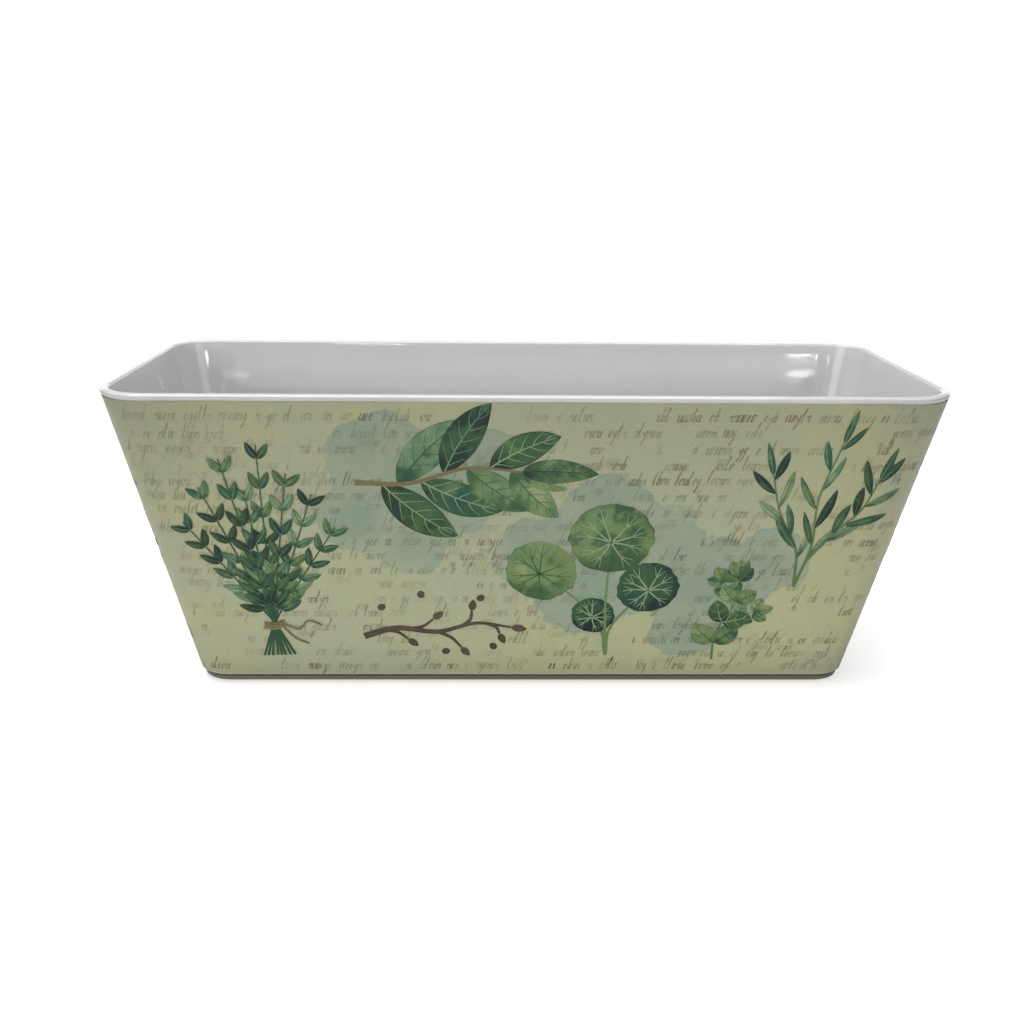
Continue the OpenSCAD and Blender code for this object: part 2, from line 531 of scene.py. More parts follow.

# The colours of the print, shared by the foil and by the ink laid on it: mottled
# sage, yellower patches, fibres, and the washes with pooled edges. Painted light
# makes it paler towards the heel, painted shade darker towards its ends, and a
# painted highlight gives it a pale line at its foot.
print_ground, start, end = new_group(
    "print_ground",
    [("Place", "Vector", (0, 0, 0))],
    [("Color", "Color"), ("Grain", "Float")],
)
tree = print_ground
place = start["Place"]
yellowing = step(tree, noise(tree, place, 16, 3, 0.55), 0.4, 0.66)
colour = blend(tree, yellowing, srgb(156, 159, 130), srgb(164, 163, 126))
cool = step(tree, noise(tree, place, 33, 4, 0.6), 0.5, 0.72)
colour = blend(tree, times(tree, cool, 0.6), colour, srgb(148, 156, 130))
pool = None
for turn, pools in enumerate(wash_pools):
    for across, z, radius in pools:
        centre = Vector(on_wall(turn, across, z, 0)) * MM
        gap = add_node(tree, "VectorMath", {0: place, 1: centre}, operation="DISTANCE")
        share = calc(tree, "DIVIDE", gap.outputs["Value"], radius * MM)
        pool = share if pool is None else calc(tree, "SMOOTH_MIN", pool, share, 0.18)
ragged = scaled(tree, noise(tree, place, 75, 5, 0.6), 0.8, pool)
wash = step(tree, ragged, 1.42, 1.34)
faded = step(tree, noise(tree, place, 22, 2), 0.3, 0.52)
wash = times(tree, wash, scaled(tree, faded, 0.45, 0.5))
edge_line = times(tree, wash, step(tree, ragged, 1.26, 1.37))
deep = step(tree, calc(tree, "ADD", noise(tree, place, 40, 3), ragged), 1.6, 1.2)
wash_colour = blend(tree, times(tree, deep, 0.7), srgb(135, 147, 128), srgb(122, 139, 122))
wash_colour = blend(tree, times(tree, edge_line, 0.45), wash_colour, srgb(118, 136, 121))
colour = blend(tree, wash, colour, wash_colour)
fibre = noise(tree, stretch(tree, place, (1, 1, 2.4)), 620, 4, 0.65)
fibre_range = {"Value": fibre, "From Min": 0.3, "From Max": 0.7, "To Min": 0.94, "To Max": 1.05}
fibres = add_node(tree, "MapRange", fibre_range).outputs[0]
at = split(tree, place)
# Painted light: the print is made lighter towards the heel and a little darker near the rim.
heel_light_range = {"Value": at["Z"], "From Max": 0.118, "To Min": 1.34, "To Max": 0.96}
painted_heel_light = add_node(tree, "MapRange", heel_light_range).outputs[0]
# Painted shade: the print is darker towards the planter's ends, where the walls turn from the
# front light.
end_shade = scaled(tree, step(tree, calc(tree, "ABSOLUTE", at["X"]), 0.09, 0.15), -0.1, 1.0)
shade = times(tree, times(tree, fibres, painted_heel_light), end_shade)
# Painted highlight: a pale line along the foil's foot, where its edge catches the light.
foot_highlight = step(tree, at["Z"], (wrap_low + 0.75) * MM, (wrap_low + 0.4) * MM)
colour = blend(tree, times(tree, foot_highlight, 0.8), colour, srgb(180, 182, 158))
tinted = add_node(tree, "VectorMath", {0: colour, "Scale": shade}, operation="SCALE")
tree.links.new(tinted.outputs[0], end["Color"])
tree.links.new(fibre, end["Grain"])


def print_material(name):
    """A material of the print, with its satin lacquer: shallow waves, paper grain
    and faint rubs. It gives back its base colour, still to be linked."""
    material, tree, shader = new_material(name, IOR=1.48, Specular_IOR_Level=0.25)
    place = where(tree)
    ground = place_group(tree, print_ground, {"Place": place})
    marks = place_group(tree, handling, {"Place": place, "Amount": 0.5})["Mask"]
    waves = place_group(tree, moulding_waves, {"Place": place})["Height"]
    height = scaled(tree, ground["Grain"], 0.03, waves)
    skin(tree, shader, scaled(tree, marks, 0.12, 0.36), height, 0.3, 0.0004)
    return material, tree, place, ground["Color"], shader.inputs["Base Color"]


printed_foil, tree, place, ground, base_colour = print_material("printed_foil")
tree.links.new(ground, base_colour)
wrap = finish_mesh(wrap_foil(), "printed_wrap_foil", [printed_foil])
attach(wrap, "planter")
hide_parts("printed_wrap")

# The pen rows on the print: narrow, slanting brown strokes, worn and faded as ink
# on old paper. They are laid at random in ragged rows, and spell nothing.
pen_strokes = {
    "arch": [(0.05, 0), (0.1, 0.95), (0.2, 0.6), (0.5, 1), (0.62, 0.7), (0.6, 0), (0.9, 0.25)],
    "cup": [
        (0, 0.8), (0.12, 1), (0.1, 0.2), (0.3, 0),
        (0.55, 0.4), (0.62, 1), (0.6, 0), (0.9, 0.2),
    ],
    "eye": [(0, 0.3), (0.4, 0.6), (0.42, 0.95), (0.22, 0.95), (0.08, 0.4), (0.25, 0), (0.7, 0.3)],
    "loop": [
        (0.35, 1), (0.1, 0.75), (0.1, 0.2), (0.3, 0),
        (0.5, 0.4), (0.45, 0.95), (0.6, 0.8), (0.85, 0.85),
    ],
    "tick": [(0, 0.5), (0.2, 1), (0.17, 0.2), (0.32, 0), (0.6, 0.3)],
    "tall": [(0, 0.4), (0.28, 1.4), (0.3, 2.1), (0.16, 1.9), (0.12, 0.3), (0.3, 0), (0.6, 0.3)],
    "post": [
        (0.22, 2.1), (0.16, 1), (0.12, 0), (0.3, 0.8),
        (0.52, 0.95), (0.5, 0.3), (0.3, 0), (0.75, 0.1),
    ],
    "deep": [
        (0, 0.8), (0.15, 0.3), (0.4, 0.3), (0.5, 1),
        (0.42, -0.5), (0.2, -1.1), (0.05, -0.8), (0.7, 0.2),
    ],
}
pen_odds = (6, 5, 6, 4, 6, 3, 2, 2)
row_gap = 6.3
top_row = 111
stroke_high = 2.7
stroke_wide = 2.0
pen_slant = 0.3


def smooth_line(points, steps):
    """A curve through the points."""
    p = np.array(points, float)
    padded = np.vstack([2 * p[0] - p[1], p, 2 * p[-1] - p[-2]])
    a, b, c, d = padded[:-3], padded[1:-2], padded[2:-1], padded[3:]
    t = np.linspace(0, 1, steps, endpoint=False)[:, None, None]
    square = (2 * a - 5 * b + 4 * c - d) * t**2
    cube = (3 * b - a - 3 * c + d) * t**3
    curve = 0.5 * (2 * b + (c - a) * t + square + cube)
    return np.vstack([curve.transpose(1, 0, 2).reshape(-1, 2), p[-1:]])


def pen_cluster(rng, start, count, size):
    """A few strokes in a row from start: their lines, and how wide they are in all."""
    lines = []
    at = 0
    for name in rng.choices(list(pen_strokes), pen_odds, k=count):
        wide = rng.uniform(0.85, 1.1) * stroke_wide * size
        points = np.array(pen_strokes[name]) * [wide, stroke_high * size * rng.uniform(0.92, 1.08)]
        points[:, 0] += at + pen_slant * points[:, 1]
        lines.append(smooth_line(points, 4) + np.array(start))
        at += wide * (0.62 if name == "tick" else 0.8)
    return lines, at


class Drawing:
    """Flat painted shapes on one wall of the print. They are drawn in millimetres
    across from the wall's middle and up the wall from its heel. They start at lift
    above the wrap and rise by layers, so that a later shape covers an earlier one."""

    def __init__(self, turn, lift, layer=0.002):
        self.turn, self.lift, self.layer = turn, lift, layer
        self.points, self.faces, self.places, self.paints = [], [], [], []
        self.count = self.height = 0

    def patch(self, grid, paint, rise=1):
        """A grid of points, rise layers above the last. The paint is four numbers for
        its material: on a leaf its hue, its depth, half its width in mm / 16, and how
        far it has an outline and specks; on a pen stroke how dark and how brown."""
        rows, columns = grid.shape[:2]
        flat = grid.reshape(-1, 2)
        z = heel_z + flat[:, 1] * math.cos(draft)
        self.height += rise * self.layer
        outward = (wrap_t + self.lift + self.height) / math.cos(draft)
        self.points.append(on_wall(self.turn, flat[:, 0], z, outward))
        index = self.count + np.arange(rows * columns).reshape(rows, columns)
        a, b = index[:-1, :-1].ravel(), index[:-1, 1:].ravel()
        c, d = index[1:, 1:].ravel(), index[1:, :-1].ravel()
        self.faces.append(np.stack([a, b, c, d], 1))
        shares = (np.linspace(0, 1, rows), np.linspace(0, 1, columns))
        along, across = np.meshgrid(*shares, indexing="ij")
        self.places.append(np.stack([along.ravel(), across.ravel()], 1))
        self.paints.append(np.broadcast_to(paint, (rows, columns, 4)).reshape(-1, 4))
        self.count += rows * columns

    def stroke(self, line, widths, paint, rise=1):
        """A line of changing width."""
        line = np.asarray(line, float)
        way = np.gradient(line, axis=0)
        way /= np.maximum(np.linalg.norm(way, axis=1, keepdims=True), 1e-6)
        normal = np.stack([-way[:, 1], way[:, 0]], 1)
        half = np.broadcast_to(widths, len(line))[:, None] / 2
        self.patch(np.stack([line + normal * half, line - normal * half], 1), paint, rise)

    def lay(self, name, material):
        """Makes the piece from every shape drawn so far."""
        mesh = bpy.data.meshes.new(name)
        points = np.vstack(self.points) * MM
        faces = np.vstack(self.faces)
        mesh.from_pydata(points.tolist(), [], faces.tolist())
        places = np.vstack(self.places)[faces.ravel()]
        mesh.uv_layers.new(name="Shape").data.foreach_set("uv", places.ravel())
        paint = mesh.color_attributes.new("Paint", "FLOAT_COLOR", "POINT")
        paint.data.foreach_set("color", np.vstack(self.paints).ravel())
        mesh.shade_smooth()
        mesh.materials.append(material)
        piece = bpy.data.objects.new(name, mesh)
        bpy.context.scene.collection.objects.link(piece)
        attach(piece, "planter")


def pen_pressure(line, size):
    """A broad nib: thick where the pen comes down, thin where it goes up."""
    way = np.gradient(line, axis=0)
    down = np.clip(-way[:, 1] / np.maximum(np.linalg.norm(way, axis=1), 1e-6), 0, 1)
    return (0.17 + 0.34 * down) * size


def pen_rows(turn, seed):
    """Rows of strokes across one wall, with ragged gaps and faded clusters, and a
    few paler rows between them."""
    rng = random.Random(seed)
    drawing = Drawing(turn, lift=0.03, layer=0)
    for first, gaps, size, strong in ((3.2, 0.24, 1, 1), (6.0, 0.72, 0.85, 0.45)):
        up = first
        while up < top_row:
            flat, radius = corner_starts(np.array(turn), heel_z + up, 0)
            reach = float(flat + radius * math.pi / 4) - 0.4
            across = -reach + rng.uniform(0, 7)
            slope = rng.uniform(-0.008, 0.008)
            fade = rng.uniform(0.45, 0.9)
            while across < reach - 6:
                if rng.random() < gaps:
                    across += rng.uniform(5, 20)
                    fade = rng.uniform(0.3, 1)
                    continue
                base = (across, up + slope * across + rng.uniform(-0.15, 0.15))
                lines, width = pen_cluster(rng, base, rng.randint(1, 6), size)
                if across + width > reach:
                    break
                ink = strong * fade * rng.uniform(0.7, 1)
                tint = rng.random()
                for line in lines:
                    drawing.stroke(line, pen_pressure(line, size), (ink, tint, 0, 0))
                across += width + rng.uniform(2, 3.6)
            up += row_gap
    return drawing


pen_ink, tree, place, ground, base_colour = print_material("pen_ink")
ink = add_node(tree, "VertexColor", layer_name="Paint").outputs["Color"]
ink_parts = add_node(tree, "SeparateColor", {0: ink}).outputs
worn = step(tree, noise(tree, place, 150, 5, 0.65), 0.34, 0.6)
faded = step(tree, noise(tree, place, 26, 2), 0.36, 0.58)
worn = times(tree, worn, scaled(tree, faded, 0.6, 0.4))
share = times(tree, ink_parts["Red"], scaled(tree, worn, 0.95, 0.16))
brown = blend(tree, ink_parts["Green"], srgb(84, 78, 60), srgb(112, 90, 74))
tree.links.new(blend(tree, share, ground, brown), base_colour)
for turn, wall_name in enumerate(("front", "right", "back", "left")):
    pen_rows(turn, 11 + turn).lay(f"pen_rows_{wall_name}", pen_ink)

# The painted herbs on the print: watercolour bay, thyme, tarragon, marjoram and
# nasturtium, with bare brown twigs and seeds, spread round all four walls. Each
# sprig is a thin layer of ink on the foil, with its own leaves, veins and stems.
YELLOW_GREEN, MID_GREEN, BLUE_GREEN = 0.05, 0.5, 0.95
TWINE, BARK = 1.5, 2


def blade(drawing, base, angle, length, width, hue, depth, bend=0, belly=0.42, fall=0.9, wave=0):
    """A leaf blade from its base. belly is where it is widest, bend turns its
    midrib from base to tip, and wave ripples its edge. Angles are in degrees.
    It gives back a function, for the point at a share of its length and width."""
    rows = 25 if length > 14 else 11
    columns = 9 if width > 5 else 5
    t = np.linspace(0, 1, rows)
    heading = np.radians(angle + bend * t)
    way = np.stack([np.cos(heading), np.sin(heading)], 1)
    steps = np.cumsum(way[:-1] * length / (rows - 1), axis=0)
    midrib = np.array(base, float) + np.vstack([[0, 0], steps])
    swell = t ** (fall * belly / (1 - belly)) * (1 - t) ** fall
    ripple = 1 + wave * np.sin(t * 23 + angle) * np.sin(t * 11)
    half = width / 2 * swell / swell.max() * ripple
    side = np.stack([-way[:, 1], way[:, 0]], 1) * half[:, None]
    shares = np.linspace(1, -1, columns)
    paint = (hue, depth, width / 2 / 16, 1 if width > 2 else 0.3)
    drawing.patch(midrib[:, None] + side[:, None] * shares[None, :, None], paint)

    def at(share, out):
        place = np.clip(share, 0, 1) * (rows - 1)
        low = np.minimum(place.astype(int), rows - 2)
        rest = (place - low)[..., None]
        middle, half_way = [p[low] * (1 - rest) + p[low + 1] * rest for p in (midrib, side)]
        return middle + half_way * np.asarray(out)[..., None]

    return at


def feather_veins(drawing, at, pairs, wide, paint):
    """A midrib with curved side veins, drawn over a blade."""
    t = np.linspace(0.01, 0.93, 16)
    drawing.stroke(at(t, 0 * t), np.linspace(wide, wide * 0.35, 16), paint)
    for number in range(pairs):
        start = 0.12 + 0.66 * number / max(pairs - 1, 1)
        for side in (-1, 1):
            t = np.linspace(0, 1, 7)
            line = at(start + 0.02 * side + 0.17 * t**1.3, side * 0.84 * t)
            drawing.stroke(line, np.linspace(wide * 0.6, wide * 0.2, 7), paint, 0)


def leaf(drawing, base, angle, length, width, hue, depth, bend=0, belly=0.42):
    """A blade with veins: paler than it on a deep leaf and deeper on a pale leaf."""
    at = blade(drawing, base, angle, length, width, hue, depth, bend, belly)
    if width > 2.4:
        painted_heel_light = 1 if width > 6 else 0.5
        vein_depth = depth - painted_heel_light if depth > 0.62 else depth + 0.75
        pairs = 0 if width < 4.5 else (3 if length < 14 else 5)
        feather_veins(drawing, at, pairs, 0.3 + 0.025 * width, (hue, vein_depth, 0.01, 0))


def stem(drawing, points, wide, hue=0.35, depth=0.45):
    """A tapering stem through the points."""
    line = smooth_line(points, 8)
    drawing.stroke(line, np.linspace(wide, wide * 0.45, len(line)), (hue, depth, 0.02, 0))
    return line


def heading_at(line, index):
    ahead, behind = line[min(index + 1, len(line) - 1)], line[max(index - 1, 0)]
    return math.degrees(math.atan2(*(ahead - behind)[::-1]))


def leaf_on(drawing, line, index, turn, *look):
    """A leaf that leaves a stem's line at a point, turned from the stem's own way."""
    index %= len(line)
    leaf(drawing, line[index], heading_at(line, index) + turn, *look)


def leaf_points(line, first, last, count):
    """Where leaves leave a line: this many of its points, numbered, spread evenly."""
    return enumerate(np.linspace(first, len(line) - last, count).astype(int))


def turned(points, base, angle, size=1, flip=1):
    """Points of a sprig drawn upright, moved to base and turned."""
    p = np.array(points, float) * [flip * size, size]
    a = math.radians(angle)
    spin = np.array([[math.cos(a), -math.sin(a)], [math.sin(a), math.cos(a)]])
    return p @ spin.T + np.array(base)


def bay_branch(drawing, rng, put, size):
    """A woody twig with long smooth leaves, dark above and paler where they turn."""
    line = smooth_line(put([(0, 0), (3, 16), (1, 34), (5, 50)]), 10)
    depths = [0.95, 0.25, 0.7, 1.15, 0.3, 0.8, 0.15]
    for number, index in leaf_points(line, 5, 3, len(depths)):
        side = 1 if number % 2 else -1
        grow = 1 - 0.35 * number / len(depths)
        turn = side * rng.uniform(40, 56)
        length = rng.uniform(28, 33) * grow * size
        width = 11.5 * size * (0.5 + 0.5 * grow)
        look = (rng.uniform(0.3, 1), depths[number], -side * 22, 0.47)
        leaf_on(drawing, line, index, turn, length, width, *look)
    leaf_on(drawing, line, -1, -24, 15 * size, 5.6 * size, YELLOW_GREEN, 0.15, 12)
    leaf_on(drawing, line, -1, 8, 23 * size, 8 * size, MID_GREEN, 0.6, -10)
    drawing.stroke(line, np.linspace(1.7, 0.7, len(line)) * size, (TWINE, 0.6, 0.03, 0))


def nasturtium(drawing, rng, put, size):
    """Round leaves like small shields, each held near its middle by a long stalk,
    with pale forked veins that spread from there."""
    shields = [
        (-21, 36, 24, 0.1, 0.2),
        (15, 27, 21, 0.85, 0.95),
        (-4, 17, 15, 0.9, 1.1),
        (3, 47, 28, 0.3, 0.45),
    ]
    for x, y, wide, hue, depth in shields:
        middle = put([(x, y)])[0]
        tilt = rng.uniform(60, 120)
        stem(drawing, put([(0, 0), (x * 0.15, y * 0.45), (x, y)]), 1.2 * size, 0.2, 0.35)
        foot = turned([(0, -wide * 0.46)], middle, tilt - 90, size)[0]
        look = (wide * 0.94 * size, wide * size, hue, depth, 0, 0.5, 0.47, 0.05)
        at = blade(drawing, foot, tilt, *look)
        pale = (0.3, -0.7 if depth > 0.4 else 0.9, 0.01, 0)
        start = at(np.array(0.44), 0.0)
        for ray in range(9):
            turn = math.radians(ray * 40 + 8)
            to_side = 0.9 * math.copysign(1, math.sin(turn))
            way = at(np.array(0.5 + 0.46 * math.cos(turn)), to_side) - start
            t = np.linspace(0, 0.92, 8)[:, None]
            bow = np.array([-way[1], way[0]]) * 0.06 * math.sin(ray * 2.3)
            line = start + way * t + bow * np.sin(t * math.pi)
            widths = np.linspace(0.6, 0.18, 8) * size
            drawing.stroke(line, widths, pale, 1 if ray == 0 else 0)
            for fork in (-1, 1):
                end = turned([line[7] - line[4]], line[4], fork * math.degrees(0.5))[0]
                twig = np.linspace(line[4], end, 4)
                drawing.stroke(twig, np.linspace(0.3, 0.12, 4) * size, pale, 0)


def tarragon(drawing, rng, put, size):
    """A branching stem with long narrow leaves, some of them folded and dark."""
    for path in (
        [(0, 0), (-3, 18), (-13, 34), (-19, 50)],
        [(0, 0), (3, 20), (1, 42), (5, 66)],
        [(2, 12), (10, 26), (19, 38), (23, 52)],
    ):
        line = stem(drawing, put(path), 1.3 * size, 0.4, 0.5)
        for number, index in leaf_points(line, 6, 2, 7):
            side = 1 if number % 2 else -1
            turn = side * rng.uniform(22, 42)
            length = rng.uniform(15, 22) * (1 - 0.05 * number) * size
            depth = rng.choice((0.1, 0.35, 0.65, 0.95, 1.3))
            width, hue = rng.uniform(2.6, 4) * size, rng.uniform(0.3, 1)
            bend = -side * rng.uniform(4, 20)
            leaf_on(drawing, line, index, turn, length, width, hue, depth, bend, 0.5)
        leaf_on(drawing, line, -1, 0, 15 * size, 2.8 * size, BLUE_GREEN, 0.7)


def marjoram(drawing, rng, put, size):
    """A soft stem with round leaves in pairs and two short side shoots."""
    line = stem(drawing, put([(0, 0), (-2, 15), (2, 31), (0, 46)]), 1.2 * size)
    for side, index in ((-1, 11), (1, 15)):
        shoot_turn = heading_at(line, index) + side * 44 - 90
        path = turned([(0, 0), (side * 1.5, 8), (side, 16)], line[index], shoot_turn, size)
        shoot = stem(drawing, path, 0.8 * size)
        for joint in (8, 15):
            for way in (-1, 1):
                look = (rng.uniform(0.2, 0.7), rng.uniform(0.1, 0.8), -way * 25)
                leaf_on(drawing, shoot, joint, way * 62, 8 * size, 6 * size, *look)
        leaf_on(drawing, shoot, -1, 0, 8 * size, 5.5 * size, YELLOW_GREEN, 0.25)
    for number, index in leaf_points(line, 5, 2, 4):
        grow = (1 - 0.13 * number) * size
        for way in (-1, 1):
            turn = way * rng.uniform(52, 68)
            look = (rng.uniform(0, 0.7), rng.choice((0.1, 0.4, 0.75, 1)), -way * 22, 0.45)
            leaf_on(drawing, line, index, turn, 14.5 * grow, 10.5 * grow, *look)
    for turn in (-24, 26, 0):
        leaf_on(drawing, line, -1, turn, 9 * size, 5.5 * size, rng.uniform(0, 0.4), 0.3)


def thyme_bunch(drawing, rng, put, size):
    """Wiry stems fanned above a twine tie, each with small leaves in pairs."""
    ends = [(-27, 46), (-19, 60), (-10, 71), (-3, 58), (4, 76), (13, 64), (21, 55), (28, 41)]
    for x, y in rng.sample(ends, len(ends)):
        path = [(-x * 0.22, -15), (0, 0), (x * 0.38, y * 0.4), (x, y)]
        line = stem(drawing, put(path), size, 0.7, 0.75)
        for index in range(11, len(line), 2):
            grow = 1 - 0.4 * (index - 11) / (len(line) - 11)
            length, width = (4 + 5.5 * grow) * size, (1.8 + 1.7 * grow) * size
            depth = rng.choice((0.1, 0.4, 0.7, 1, 1.3))
            for way in (-1, 1):
                turn = way * rng.uniform(30, 52)
                look = (rng.uniform(0.3, 1), depth, -way * 15)
                leaf_on(drawing, line, index, turn, length, width, *look)
    for shift in (-1.2, 0, 1.2):
        tie = put([(-4, shift - 0.6), (0, shift - 1.2), (4, shift)])
        drawing.stroke(smooth_line(tie, 6), 0.9 * size, (TWINE, 0.3 + 0.2 * shift, 0.02, 0))
    for tail in ([(3, 0), (9, -3), (13, 0.5), (18, -1.5)], [(2.5, -0.5), (7, -7), (12, -10)]):
        drawing.stroke(smooth_line(put(tail), 8), 0.7 * size, (TWINE, 0.5, 0.02, 0))


def bare_twig(drawing, rng, put, size):
    """A brown brush-stroke twig with side twigs and buds, and a few loose seeds."""
    main = smooth_line(put([(0, 0), (-2, 14), (2, 30), (0, 46), (4, 60)]), 9)
    drawing.stroke(main, np.linspace(3.2, 1.1, len(main)) * size, (BARK, 0.5, 0.1, 1))
    for number, index in enumerate(range(6, len(main) - 2, 6)):
        side = 1 if number % 2 else -1
        twig_turn = heading_at(main, index) + side * rng.uniform(32, 48) - 90
        reach = rng.uniform(10, 17) * (1 - 0.08 * number)
        path = [(0, 0), (side * 1.2, reach * 0.5), (0, reach)]
        twig = smooth_line(turned(path, main[index], twig_turn, size), 7)
        drawing.stroke(twig, np.linspace(1.9, 1, len(twig)) * size, (BARK, 0.5, 0.06, 0))
        tip = heading_at(twig, len(twig) - 1)
        blade(drawing, twig[-1], tip, 5.4 * size, 3.2 * size, BARK, 0.5)
    tip = heading_at(main, len(main) - 1)
    blade(drawing, main[-1], tip, 6.5 * size, 3.6 * size, BARK, 0.5)
    for seed in ((-12, 8), (-15, 26), (12, 30), (-11, 48), (14, 52)):
        spot = put([seed])[0]
        turn = rng.uniform(0, 180)
        blade(drawing, spot, turn, 3.6 * size, 3 * size, BARK, 0.4, 0, 0.5, 0.5)


# The watercolour itself: greens that run from yellow to blue and from thin to
# nearly black, with grainy pigment, one half of a leaf deeper than the other,
# a dark foot where the paint pooled, and a thin broken outline.
leaf_paint, tree, place, ground, base_colour = print_material("leaf_paint")
paint = add_node(tree, "VertexColor", layer_name="Paint").outputs
parts = add_node(tree, "SeparateColor", {0: paint["Color"]}).outputs
hue, depth, half_wide, detail = parts["Red"], parts["Green"], parts["Blue"], paint["Alpha"]
shape = split(tree, add_node(tree, "UVMap", uv_map="Shape").outputs[0])
along, side = shape["X"], scaled(tree, shape["Y"], 2.0, -1.0)
run = noise(tree, place, 120, 4, 0.6)
drift = step(tree, run, 0.36, 0.66)
own_hue = calc(tree, "SUBTRACT", hue, 0.25)
cool = calc(tree, "MULTIPLY_ADD", drift, 0.5, own_hue, clamp=True)
half_blade = times(tree, step(tree, side, -0.06, 0.06), 0.22)
pooled = times(tree, step(tree, scaled(tree, run, 0.3, along), 0.5, 0.22), 0.5)
uneven = scaled(tree, drift, 0.5, -0.3)
loose = calc(tree, "ADD", uneven, calc(tree, "ADD", half_blade, pooled))
wet = scaled(tree, loose, detail, depth)
tone = blend(tree, cool, srgb(144, 158, 116), srgb(124, 150, 124))
for thin_end, thick_end, yellow, blue in (
    (-0.3, 0.25, srgb(112, 133, 84), srgb(90, 124, 96)),
    (0.25, 0.8, srgb(68, 96, 54), srgb(44, 82, 62)),
    (0.9, 1.5, srgb(38, 54, 36), srgb(32, 44, 42)),
):
    tone = blend(tree, step(tree, wet, thin_end, thick_end), tone, blend(tree, cool, yellow, blue))
grain = noise(tree, place, 1400, 3, 0.7)
speck = times(tree, step(tree, grain, 0.56, 0.64), times(tree, detail, 0.32))
tone = blend(tree, speck, tone, srgb(40, 74, 54))
to_edge = calc(tree, "SUBTRACT", 1.0, calc(tree, "ABSOLUTE", side))
near_edge = step(tree, times(tree, to_edge, half_wide), 0.03, 0.008)
outline = times(tree, near_edge, times(tree, detail, step(tree, run, 0.3, 0.6)))
tone = blend(tree, times(tree, outline, 0.8), tone, srgb(36, 62, 44))
thin = times(tree, step(tree, noise(tree, place, 60, 3), 0.5, 0.75), step(tree, wet, 0.6, -0.2))
tone = blend(tree, times(tree, thin, 0.5), tone, ground)
straw = blend(tree, depth, srgb(138, 126, 88), srgb(96, 84, 54))
brush = blend(tree, drift, srgb(92, 80, 64), srgb(76, 66, 54))
tone = blend(tree, step(tree, hue, 1.25, 1.4), tone, straw)
tone = blend(tree, step(tree, hue, 1.7, 1.9), tone, brush)
tree.links.new(tone, base_colour)

# Where each sprig lies: its wall, what it is, its foot, its turn and its size,
# and -1 where it is drawn the other way round.
sprigs = [
    (0, thyme_bunch, (-96, 25), 3, 1.0, 1),
    (0, bay_branch, (-62, 86), -80, 1.2, 1),
    (0, bare_twig, (-62, 19), -82, 0.95, 1),
    (0, nasturtium, (32, 10), 4, 1.12, 1),
    (0, marjoram, (74, 8), -10, 0.85, 1),
    (0, tarragon, (102, 42), -5, 0.92, 1),
    (1, bay_branch, (-13, 34), 6, 1.05, -1),
    (1, nasturtium, (15, 7), -4, 0.78, -1),
    (2, bay_branch, (-38, 74), 68, 1.25, -1),
    (2, marjoram, (-106, 6), 6, 1.0, 1),
    (2, bare_twig, (-54, 18), -80, 0.95, 1),
    (2, thyme_bunch, (25, 24), -5, 0.95, -1),
    (2, tarragon, (76, 30), -10, 0.85, 1),
    (2, nasturtium, (113, 6), 4, 0.8, 1),
    (3, marjoram, (-14, 8), 6, 1.35, 1),
    (3, bare_twig, (30, 28), 2, 0.75, 1),
]
for number, (turn, kind, base, angle, size, flip) in enumerate(sprigs):
    drawing = Drawing(turn, lift=0.07)
    put = partial(turned, base=base, angle=angle, size=size, flip=flip)
    kind(drawing, random.Random(40 + number), put, size)
    drawing.lay(f"{kind.__name__}_{number + 1}", leaf_paint)

# The drain plugs. Soft silicone caps, each a flange in the seat round a drain,
# a stem that squeezes into the hole, and a thumb tab to lift it by.


def rounded_loop(centre, half_x, half_y, radius, z):
    """A level rounded rectangle, or a circle when all three sizes are the same."""
    points = []
    for a in np.linspace(0, 2 * math.pi, 64, endpoint=False):
        quarter = int(a / (math.pi / 2) + 1e-9)
        x = (1 if quarter in (0, 3) else -1) * (half_x - radius) + radius * math.cos(a)
        y = (1 if quarter in (0, 1) else -1) * (half_y - radius) + radius * math.sin(a)
        points.append((centre[0] + x, centre[1] + y, z))
    return points


def stack_loops(bm, loops):
    """Joins closed loops one above another and closes both ends with a fan."""
    made = [add_loop(bm, loop) for loop in loops]
    for first, second in zip(made[:-1], made[1:]):
        join_loops(bm, first, second)
    for loop in (made[0], made[-1]):
        middle = bm.verts.new(sum((v.co for v in loop), Vector()) / len(loop))
        for i, vert in enumerate(loop):
            bm.faces.new((vert, loop[(i + 1) % len(loop)], middle))


